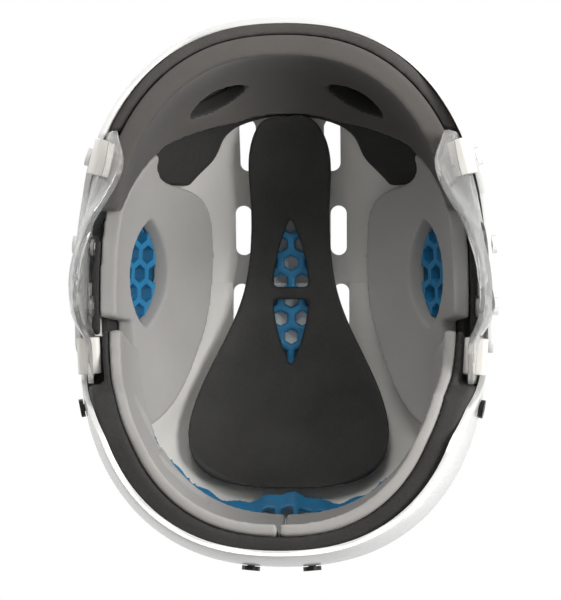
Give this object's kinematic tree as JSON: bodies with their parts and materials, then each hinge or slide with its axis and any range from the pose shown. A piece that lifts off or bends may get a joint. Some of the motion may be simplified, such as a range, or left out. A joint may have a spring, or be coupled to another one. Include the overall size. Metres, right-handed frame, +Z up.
{
  "type": "ice hockey helmet",
  "caption": "Two-piece ice hockey helmet with foam liners, comfort pads, open lattice pads and clear ear guards; the rear shell slides back to set the size.",
  "frame": {"origin": "under the middle of the helmet, level with the lowest edge of the nape and the ear guards", "axes": "+Z up towards the crown as worn, -Y towards the forehead, +X towards the wearer's left"},
  "size_m": [0.229, 0.2934, 0.1849],
  "materials": {
    "shell": "gloss",
    "black_foam": "matte",
    "dark_pad": "matte",
    "crown_foam": "matte",
    "grey_pad": "matte",
    "lattice": "satin",
    "clear_plastic": "gloss",
    "webbing": "woven",
    "black_screw": "satin",
    "steel": "satin"
  },
  "bodies": {
    "front": {"front_shell": "shell", "front_liner": "black_foam", "side_liner_left": "black_foam", "side_liner_right": "black_foam", "forehead_pad": "dark_pad", "crown_pad": "crown_foam", "side_pad_left": "grey_pad", "side_pad_right": "grey_pad", "side_lattice_left": "lattice", "side_lattice_right": "lattice", "crown_lattice": "lattice", "ear_guard_left": "clear_plastic", "ear_guard_right": "clear_plastic", "strap_loop_front_left": "webbing", "strap_loop_front_right": "webbing", "strap_loop_rear_left": "webbing", "strap_loop_rear_right": "webbing", "ear_guard_screws": "black_screw", "ear_guard_nuts": "steel", "visor_inserts": "steel"},
    "rear": {"rear_shell": "shell", "rear_liner": "black_foam", "rear_pad_left": "grey_pad", "rear_pad_right": "grey_pad", "rear_lattice": "lattice", "size_screws": "black_screw", "size_nuts": "steel", "rear_screws": "black_screw", "rear_nuts": "steel"}
  },
  "joints": [
    {"name": "size_slide", "type": "slide", "parent": "front", "child": "rear", "axis": [0, 1, 0], "range_m": [0, 0.02]}
  ]
}
